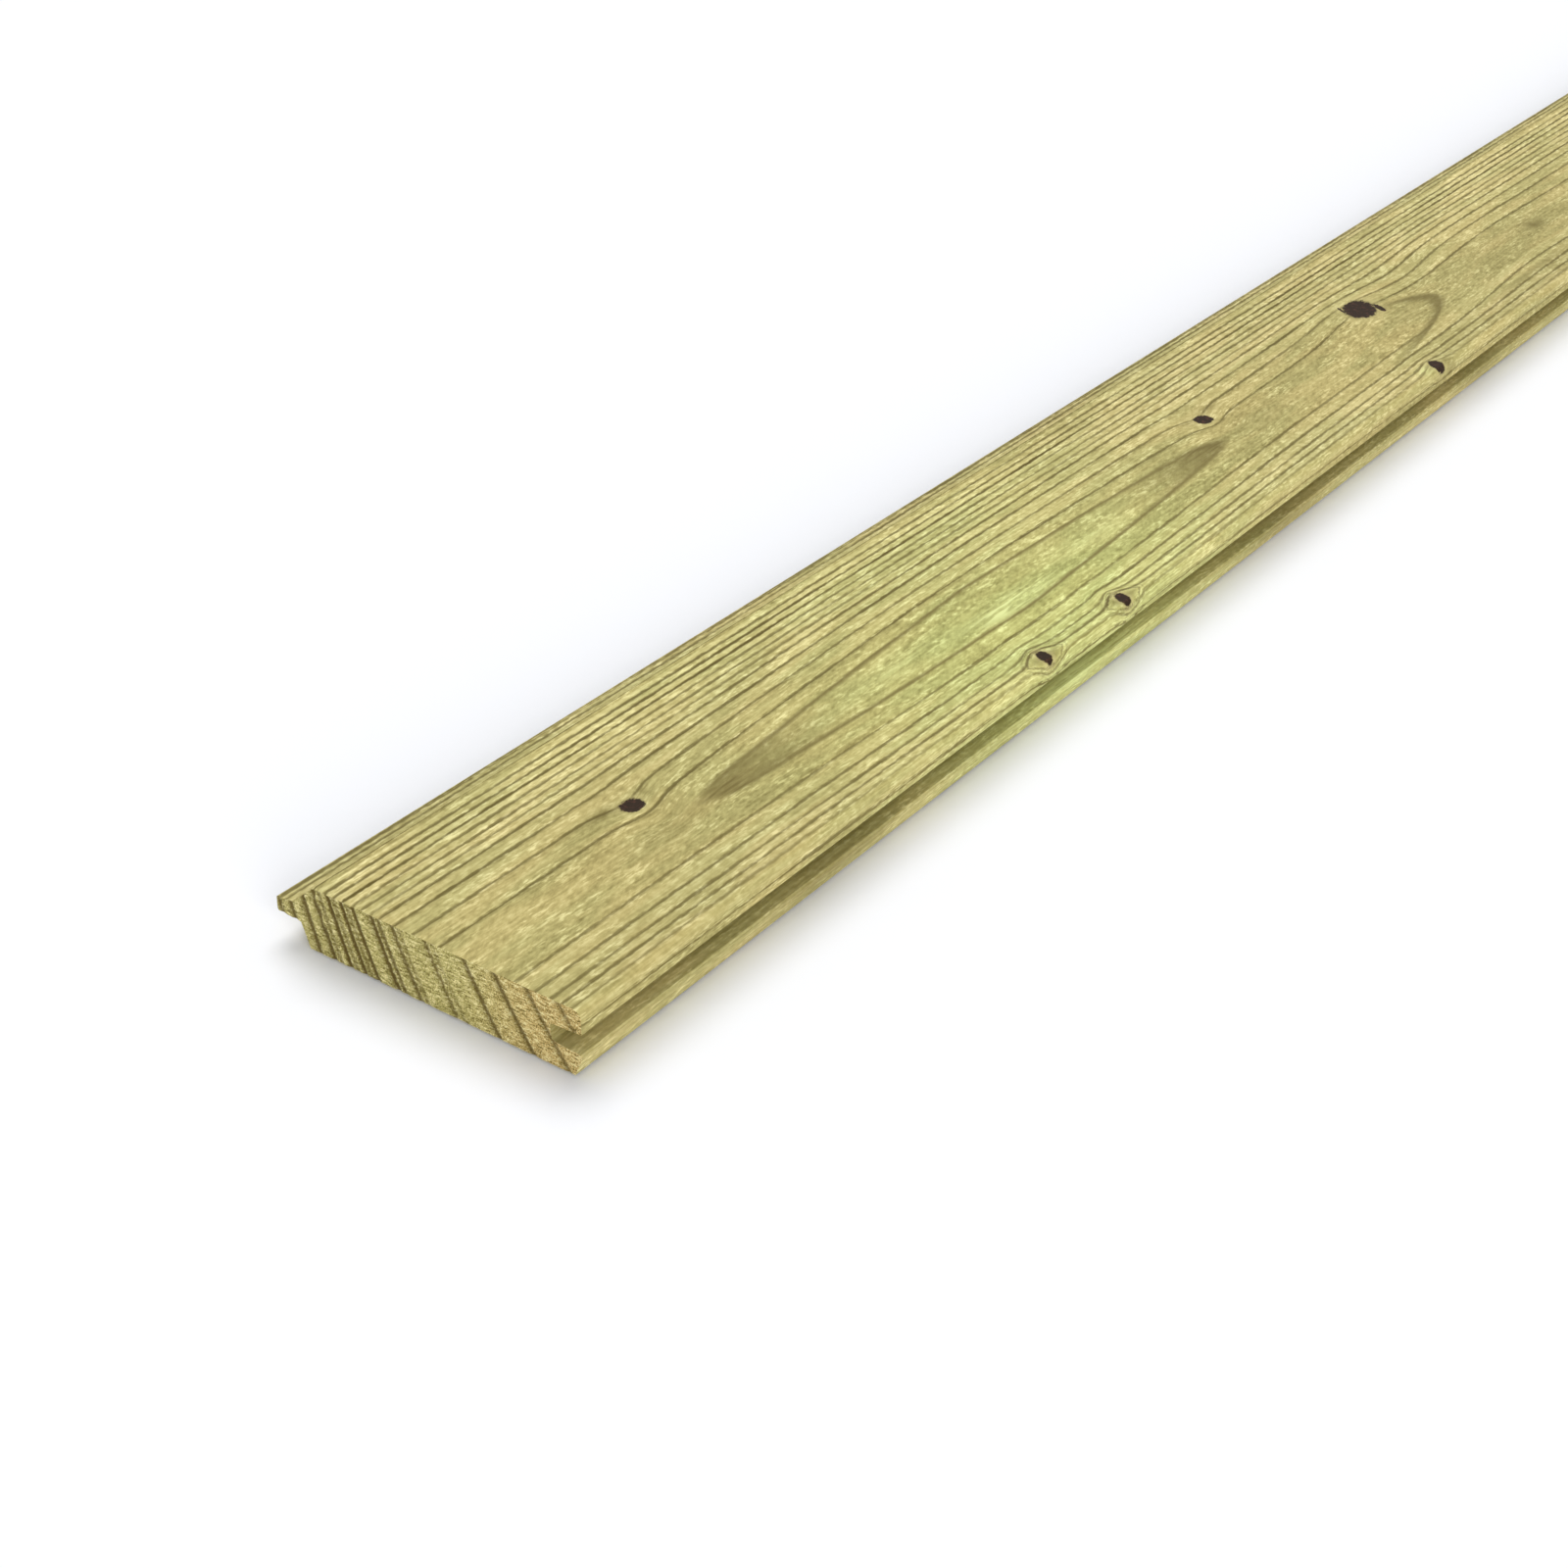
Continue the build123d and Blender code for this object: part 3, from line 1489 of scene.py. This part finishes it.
@dataclass(frozen=True)
class SawnEnd(PineFinish):
    """The sawn ends: leaning growth rings under a rough, short-fibred cut."""

    relief: float = 0.3
    tail: float = 4.5
    tail_share: float = 0.6
    tail_end: float = 0.1
    tail_dark: float = 0.6
    dark: Colour = tone(112, 100, 42)
    olive: Colour = tone(192, 181, 108)
    warm: Colour = tone(209, 179, 110)
    light: Colour = tone(248, 236, 172)
    late: Colour = tone(92, 74, 25)
    dash_length: float = 3.6
    dash_width: float = 0.85
    dash_roughness: float = 0.7
    dash_share: float = 2.2
    grit_scale: float = 1.7
    grit_roughness: float = 0.6
    grit_share: float = 1.9
    base_shine: float = 0.515
    fray: float = 1.4
    core: Pair = (1.65, 0.4)
    line_dark: float = 0.92
    line_relief: float = 0.5
    warm_step: Pair = (60.0, 15.0)
    dark_step: Pair = (0.5, 0.05)
    light_step: Pair = (0.5, 0.95)

    def dress(self, length: float, width: float) -> bpy.types.Material:
        """Makes the finish.

        Args:
            length: The board's length, in millimetres.
            width: The board's width, in millimetres.

        Returns:
            The material.
        """
        bench = self.start()
        place = self.board_place(bench, length, width)
        _, across, _ = place.split()
        ring, gap, _ = bench.stored(Layer.GRAIN)
        strength, _, _ = bench.stored(Layer.LOOK)
        dash = place.scaled(1.0, 1 / self.dash_length, 1 / self.dash_width)
        dash = dash.cloud(FINE_DETAIL, self.dash_roughness)
        grit = place.scaled(1.0, self.grit_scale, self.grit_scale)
        grit = grit.cloud(PLAIN_DETAIL, self.grit_roughness)
        above, below = self.line_distances(ring, gap)
        fray = grit.vary(self.fray)
        line = (above.maths("MINIMUM", below) + fray).step(*self.core) * strength
        soft = self.soft_tail(above + fray, gap) * strength
        shine = (dash.vary(self.dash_share) + grit.vary(self.grit_share) + self.base_shine).held()
        colour = bench.blend(across.step(*self.warm_step), self.olive, self.warm)
        colour = bench.blend(shine.step(*self.dark_step), colour, self.dark)
        colour = bench.blend(shine.step(*self.light_step), colour, self.light)
        colour = bench.blend(soft * self.tail_dark, colour, self.dark)
        colour = bench.blend(line * self.line_dark, colour, self.late)
        return self.finish(bench, colour, shine - line * self.line_relief)


def aimed(heading: float, drop: float) -> tuple[float, float, float]:
    """Turns a lamp or a camera to look along a heading and down by a drop, both in degrees."""
    return (math.radians(RIGHT_ANGLE - drop), 0.0, math.radians(heading - RIGHT_ANGLE))


@dataclass(frozen=True)
class SoftLamp:
    """A wide, even lamp. Its share is the light that it gives a level surface."""

    name: str
    share: float
    heading: float
    height: float
    spread: float
    tint: tuple[float, float, float] = (1.02, 1.006, 0.976)

    def hang(self) -> bpy.types.Object:
        """Puts the lamp in the scene, shining along its heading and down from its height.

        Returns:
            The lamp.
        """
        lamp = bpy.data.lights.new(self.name, "SUN")
        lamp.energy = self.share * math.pi / math.sin(math.radians(self.height))
        lamp.angle = math.radians(self.spread)
        lamp.color = self.tint
        hung = bpy.data.objects.new(self.name, lamp)
        hung.rotation_euler = aimed(self.heading, self.height)
        bpy.context.scene.collection.objects.link(hung)
        return hung


@dataclass
class Studio:
    """The white floor, the soft light and the camera."""

    floor_size: float = 40.0
    floor_white: Colour = (0.928, 0.938, 0.968, 1.0)
    floor_gap: float = 1.4
    sky_strength: float = 0.46
    sky_tint: Colour = (0.968, 0.99, 1.04, 1.0)
    lamps: tuple[SoftLamp, ...] = (
        SoftLamp("back_lamp", share=0.44, heading=-145.0, height=62.0, spread=42.0),
        SoftLamp("side_lamp", share=0.19, heading=58.0, height=22.0, spread=30.0),
    )
    camera_place: tuple[float, float, float] = (-1.4156, -0.5354, 0.5416)
    camera_heading: float = 36.29
    camera_drop: float = 31.59
    lens: float = 59.05
    sensor: float = 36.0

    def lay_floor(self) -> bpy.types.Object:
        """Lays the floor.

        Returns:
            The floor.
        """
        shape = bmesh.new()
        bmesh.ops.create_grid(shape, x_segments=1, y_segments=1, size=self.floor_size / 2)
        bmesh.ops.translate(shape, verts=shape.verts, vec=(0.0, 0.0, -self.floor_gap * MM))
        mesh = bpy.data.meshes.new("floor")
        shape.to_mesh(mesh)
        shape.free()
        floor = bpy.data.objects.new("floor", mesh)
        bpy.context.scene.collection.objects.link(floor)
        material = bpy.data.materials.new("white floor")
        material.use_nodes = True
        shader = material.node_tree.nodes["Principled BSDF"]
        shader.inputs["Base Color"].default_value = self.floor_white
        shader.inputs["Roughness"].default_value = 1.0
        shader.inputs["Specular IOR Level"].default_value = 0.0
        mesh.materials.append(material)
        return floor

    def light(self) -> None:
        """Sets an even white sky, seen as pure white, and hangs the soft lamps."""
        world = bpy.data.worlds.new("studio")
        world.use_nodes = True
        tree = world.node_tree
        tree.nodes.clear()
        path = tree.nodes.new("ShaderNodeLightPath")
        sky = tree.nodes.new("ShaderNodeBackground")
        sky.inputs["Strength"].default_value = self.sky_strength
        sky.inputs["Color"].default_value = self.sky_tint
        white = tree.nodes.new("ShaderNodeBackground")
        white.inputs["Color"].default_value = (1.0, 1.0, 1.0, 1.0)
        seen = tree.nodes.new("ShaderNodeMixShader")
        output = tree.nodes.new("ShaderNodeOutputWorld")
        tree.links.new(path.outputs["Is Camera Ray"], seen.inputs["Fac"])
        tree.links.new(sky.outputs["Background"], seen.inputs[1])
        tree.links.new(white.outputs["Background"], seen.inputs[2])
        tree.links.new(seen.outputs["Shader"], output.inputs["Surface"])
        bpy.context.scene.world = world
        for lamp in self.lamps:
            LOG.info("%s hung", lamp.hang().name)

    def aim_camera(self) -> None:
        """Places the camera over the near end, looking down along the board."""
        data = bpy.data.cameras.new("camera")
        data.lens = self.lens
        data.sensor_width = self.sensor
        camera = bpy.data.objects.new("camera", data)
        camera.location = self.camera_place
        camera.rotation_euler = aimed(self.camera_heading, self.camera_drop)
        bpy.context.scene.collection.objects.link(camera)
        bpy.context.scene.camera = camera
        bpy.context.scene.view_settings.view_transform = "Standard"


def face_knots() -> tuple[Knot, ...]:
    """Lists the knots of the face.

    Returns:
        The knots, the first eight of them as the photo shows them and the rest guessed.
    """
    swept = Knot(111.4, 68.4, 5.2, 4.4, push_up=-17.0, push_down=8.0, push_reach=13.0)
    swept = replace(swept, push_fade=5.5, rim=0.4)
    eyed = Knot(302.9, 3.9, 4.6, 3.0, 64.0, push_up=6.5, push_down=9.0, push_reach=9.0, rings=1.0)
    return (
        swept,
        eyed,
        replace(eyed, along=367.8),
        replace(swept, along=558.4, across=68.1, half_length=5.4, half_width=4.6),
        Knot(741.0, 70.8, 12.8, 8.8, 22.0, rim=0.5),
        Knot(749.6, 62.7, 5.6, 1.9, 56.0, rim=0.0),
        Knot(734.0, 78.6, 4.0, 0.9, 54.0, rim=0.0),
        Knot(692.6, 3.6, 6.2, 4.0, 56.0, push_up=4.5, push_down=4.0, push_reach=12.0, rim=0.5),
        Knot(1287.0, 96.0, 6.0, 4.6, 10.0, push_up=6.0, push_down=6.0, push_reach=12.0),
        Knot(1452.0, 38.0, 8.0, 6.4, 0.0, push_up=7.0, push_down=7.0, push_reach=16.0),
        Knot(1655.0, 66.0, 5.6, 4.6, 0.0, push_up=6.0, push_down=6.0, push_reach=12.0),
    )


def face_field(knots: tuple[Knot, ...]) -> GrainField:
    """Sets out the growth lines of the face, from the lip's side to the bevel.

    Args:
        knots: The knots that push the lines aside.

    Returns:
        The face's grain.
    """
    strengths = {-3.8: 0.75, 4.2: 0.55, 8.4: 0.8, 13.3: 0.75, 20.1: 0.8, 63.9: 0.85, 76.1: 0.8}
    strengths |= {85.4: 0.9, 92.3: 0.9, 97.2: 0.65, 101.5: 0.8, 105.9: 0.75, 110.5: 1.0, 115.0: 0.95}
    strengths |= {119.3: 0.85, 123.6: 0.9}
    lines = [GrainLine(*line) for line in strengths.items()]
    lines.append(GrainLine(29.5, 0.75, ends=760.0, fade=60.0))
    lines.sort(key=lambda line: line.across)
    bends = (
        Parting(335.5, 180.0, 48.5, 8.2, 6.2, 17.0, 18.0, 40.0),
        Swell(335.0, 150.0, -4.0, 3.5, 1.2),
        Swell(92.0, 53.0, 68.0, 20.0, -1.7),
        Swell(579.0, 53.0, 68.0, 20.0, -1.7),
        Swell(730.0, 40.0, 66.0, 15.0, 6.5),
        Swell(802.0, 37.0, 80.5, 13.0, -4.5),
        Swell(914.0, 58.0, 66.0, 9.0, 2.6),
        Swell(870.0, 75.0, 23.0, 9.0, 6.0),
        Swell(880.0, 90.0, 74.0, 30.0, 1.4),
        Swell(1180.0, 120.0, 70.0, 30.0, -3.0),
        Swell(1420.0, 140.0, 48.0, 26.0, 3.5),
        Swell(1680.0, 110.0, 70.0, 26.0, -3.5),
    )
    return GrainField(tuple(lines), bends, knots)


def plain_field(places: tuple[float, ...], strength: float) -> GrainField:
    """Sets out straight growth lines of one strength, for a surface that shows little of them."""
    return GrainField(tuple(GrainLine(place, strength) for place in places))


def end_field() -> GrainField:
    """Sets out the growth rings of the sawn ends.

    Returns:
        The ends' grain, each ring by where it meets the height of the face.
    """
    strengths = {10.3: 0.65, 24.4: 0.7, 38.9: 0.85, 52.9: 0.8, 67.6: 0.3, 70.7: 0.7, 83.6: 0.35}
    strengths |= {86.6: 0.8, 93.6: 0.75, 96.6: 1.0, 105.9: 0.95, 108.6: 0.5, 111.6: 1.0, 115.2: 0.5}
    strengths |= {118.2: 1.0, 122.6: 0.5, 125.6: 0.95, 132.4: 0.9, 140.4: 0.8, 146.4: 0.8}
    return GrainField(tuple(GrainLine(*ring) for ring in strengths.items()), wander=0.0)


def face_flames() -> tuple[Flame, ...]:
    """Sets out the brown flames of the face.

    Returns:
        The two halves of the long flame in the clear band, and the arch past the big knot.
    """
    half = Flame(
        tip=116.0,
        axis=48.5,
        opens=1.0,
        spread_up=1.3,
        spread_down=1.2,
        onset=(0.0, 20.0),
        length=228.0,
        tip_width=9.0,
        leg_width=3.4,
        tip_length=130.0,
        peak=0.15,
        strength=0.85,
        fill=0.92,
        fill_length=118.0,
    )
    arch = Flame(
        tip=788.0,
        axis=46.4,
        opens=-1.0,
        spread_up=8.6,
        spread_down=6.8,
        onset=(-1.0, 1.0),
        length=58.0,
        tip_width=34.0,
        leg_width=7.0,
        tip_length=46.0,
        peak=0.14,
        strength=0.88,
        fill=0.12,
        fill_length=60.0,
        soft=0.14,
        point=0.0,
        slant=1.2,
        fade=36.0,
    )
    return (half, replace(half, tip=555.0, opens=-1.0), arch)


def face_smudges() -> tuple[SoftPatch, ...]:
    """Lists the soft brown patches of the face."""
    return (
        SoftPatch(99.5, 73.4, 9.0, 3.0, 0.55),
        SoftPatch(571.0, 73.4, 9.0, 3.0, 0.5),
        SoftPatch(121.0, 71.6, 5.0, 4.0, 0.3),
        SoftPatch(550.0, 71.6, 5.0, 4.0, 0.3),
        SoftPatch(108.0, 47.0, 26.0, 9.0, 0.22),
        SoftPatch(575.0, 47.0, 26.0, 9.0, 0.18),
        SoftPatch(748.0, 46.0, 30.0, 8.0, 0.15),
        SoftPatch(928.0, 48.0, 9.0, 5.4, 0.75),
        SoftPatch(890.0, 48.0, 110.0, 18.0, 0.14),
        SoftPatch(700.0, 6.0, 800.0, 16.0, 0.08),
        SoftPatch(880.0, 8.0, 130.0, 15.0, 0.16),
        SoftPatch(70.0, 8.0, 120.0, 17.0, 0.09),
        SoftPatch(336.0, 8.0, 120.0, 15.0, -0.16),
        SoftPatch(858.0, 18.6, 46.0, 2.6, 0.3),
        SoftPatch(838.0, 22.6, 40.0, 1.8, -0.35),
        SoftPatch(335.0, 40.3, 24.0, 4.2, -1.6),
        SoftPatch(262.0, 48.0, 30.0, 7.0, -0.25),
        SoftPatch(410.0, 46.0, 40.0, 7.0, -0.25),
        SoftPatch(682.0, 6.0, 8.0, 5.0, -0.6),
        SoftPatch(702.0, -1.0, 6.0, 4.0, 0.4),
        SoftPatch(335.0, -7.4, 170.0, 1.8, -0.5),
    )


def lip_stains_and_shade() -> tuple[SoftPatch, ...]:
    """Lists the dark and pale patches of the lower lip, by height above the back. The long band along its
    top is painted shade under the upper lip.
    """
    return (
        SoftPatch(152.0, 5.5, 42.0, 6.5, 0.5),
        SoftPatch(515.0, 5.5, 38.0, 6.5, 0.5),
        SoftPatch(745.0, 6.0, 26.0, 5.0, 0.35),
        # Painted shade: a dark band along the top of the lower lip, under the upper lip's overhang.
        SoftPatch(900.0, 8.4, 3000.0, 1.1, 0.35),
        SoftPatch(332.0, 10.5, 48.0, 4.0, -0.9),
    )


def green_patches() -> tuple[SoftPatch, ...]:
    """Lists the patches where the treatment shows greener."""
    return (
        SoftPatch(336.0, 37.0, 140.0, 42.0, 0.85),
        SoftPatch(336.0, 0.0, 100.0, 30.0, 0.3),
        SoftPatch(200.0, 118.0, 120.0, 20.0, 0.2),
        SoftPatch(390.0, 106.0, 110.0, 24.0, 0.3),
    )


def main() -> None:
    """Builds the board, dresses it and sets up the studio."""
    logging.basicConfig(level=logging.INFO, format="%(name)s: %(message)s")
    low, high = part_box("board")
    length, width, thickness = (side * TO_MM for side in high - low)
    knots = face_knots()
    board = FenceBoard(
        section=Section(width, thickness),
        length=length,
        face_grain=face_field(knots),
        tongue_grain=plain_field(TONGUE_LINES, TONGUE_STRENGTH),
        groove_grain=plain_field(GROOVE_LINES, GROOVE_STRENGTH),
        back_grain=plain_field(BACK_LINES, BACK_STRENGTH),
        end_grain=end_field(),
        knots=knots,
        smudges=face_smudges(),
        lip_stains_and_shade=lip_stains_and_shade(),
        green_patches=green_patches(),
    )
    piece = board.build()
    piece.data.materials.append(PlanedPine("planed pine").dress(length, width, knots, face_flames()))
    piece.data.materials.append(SawnEnd("sawn pine").dress(length, width))
    triangles = sum(len(face.vertices) - 2 for face in piece.data.polygons)
    LOG.info("%s: %d triangles", piece.name, triangles)
    studio = Studio()
    LOG.info("%s laid", studio.lay_floor().name)
    studio.light()
    LOG.info("light set")
    studio.aim_camera()
    LOG.info("camera aimed")


if __name__ == "__main__":
    main()
